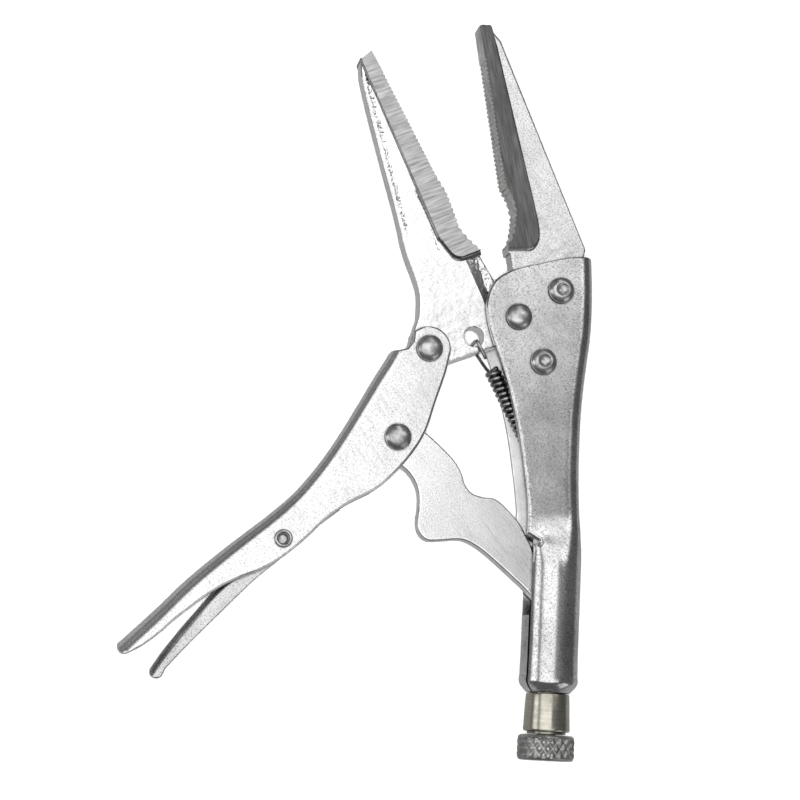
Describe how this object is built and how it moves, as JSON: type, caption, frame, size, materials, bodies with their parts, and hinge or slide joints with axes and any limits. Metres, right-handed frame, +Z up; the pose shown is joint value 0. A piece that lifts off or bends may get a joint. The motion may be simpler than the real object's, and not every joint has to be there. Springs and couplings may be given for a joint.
{
  "type": "long-nose locking pliers",
  "caption": "Long-nose locking pliers of folded sheet and forged steel, jaws open, with a toggle link, tension spring, release lever and knurled adjusting screw.",
  "frame": {"origin": "centre of the bounding box in plan, at the bottom: the surface the tool lies on", "axes": "+Y along the fixed handle towards the jaw tips, +X towards the fixed handle's back, +Z up from the surface, along every hinge axis of the jaws, handle, link and lever"},
  "size_m": [0.1404, 0.2305, 0.0182],
  "materials": {
    "plated_steel": "dull nickel plate with a fine orange-peel texture",
    "forged_steel": "dull nickel plate on a forging, gripping pads ground bright across their length",
    "rivet_steel": "polished, plated",
    "spring_steel": "dark oiled wire",
    "screw_steel": "bright turned steel, slightly warm, with a diamond knurl on the knob"
  },
  "bodies": {
    "fixed_side": {"fixed_handle": "plated_steel", "fixed_jaw": "forged_steel", "fixed_jaw_rivet_upper": "rivet_steel", "fixed_jaw_rivet_lower": "rivet_steel", "main_pivot_rivet": "rivet_steel", "tension_spring": "spring_steel"},
    "moving_jaw": {"moving_jaw": "forged_steel"},
    "moving_handle": {"moving_handle": "plated_steel", "handle_pivot_rivet": "rivet_steel", "link_pivot_rivet": "rivet_steel", "release_lever_rivet": "rivet_steel"},
    "toggle_link": {"toggle_link": "plated_steel"},
    "release_lever": {"release_lever": "plated_steel"},
    "screw": {"adjusting_screw": "screw_steel"},
    "knob": {"knurled_knob": "screw_steel"}
  },
  "joints": [
    {"name": "jaw_pivot", "type": "hinge", "parent": "fixed_side", "child": "moving_jaw", "pos_m": [0.0459, 0.0202, 0.0091], "axis": [0, 0, -1], "range_deg": [0, 21.5], "stiffness_Nm_per_rad": 0.25, "springref_deg": -20.05, "deforming": ["tension_spring"]},
    {"name": "handle_pivot", "type": "hinge", "parent": "moving_jaw", "child": "moving_handle", "pos_m": [0.0182, 0.0078, 0.0091], "axis": [0, 0, 1], "range_deg": [0, 49]},
    {"name": "link_pivot", "type": "hinge", "parent": "moving_handle", "child": "toggle_link", "pos_m": [0.0098, -0.0205, 0.0091], "axis": [0, 0, -1], "range_deg": [0, 40.7]},
    {"name": "release_lever_pivot", "type": "hinge", "parent": "moving_handle", "child": "release_lever", "pos_m": [-0.0233, -0.0539, 0.0091], "axis": [0, 0, -1], "range_deg": [0, 6]},
    {"name": "screw_travel", "type": "slide", "parent": "fixed_side", "child": "screw", "axis": [0, -1, 0], "range_m": [0, 0.014]},
    {"name": "knob_turn", "type": "hinge", "parent": "screw", "child": "knob", "pos_m": [0.0613, -0.1108, 0.0091], "axis": [0, -1, 0], "range_deg": [0, 2880]}
  ],
  "couplings": [
    {"joint": "handle_pivot", "follows": "jaw_pivot", "ratio": 2.277},
    {"joint": "link_pivot", "follows": "jaw_pivot", "ratio": 1.887},
    {"joint": "knob_turn", "follows": "screw_travel", "rad_per_m": 3590.4}
  ]
}
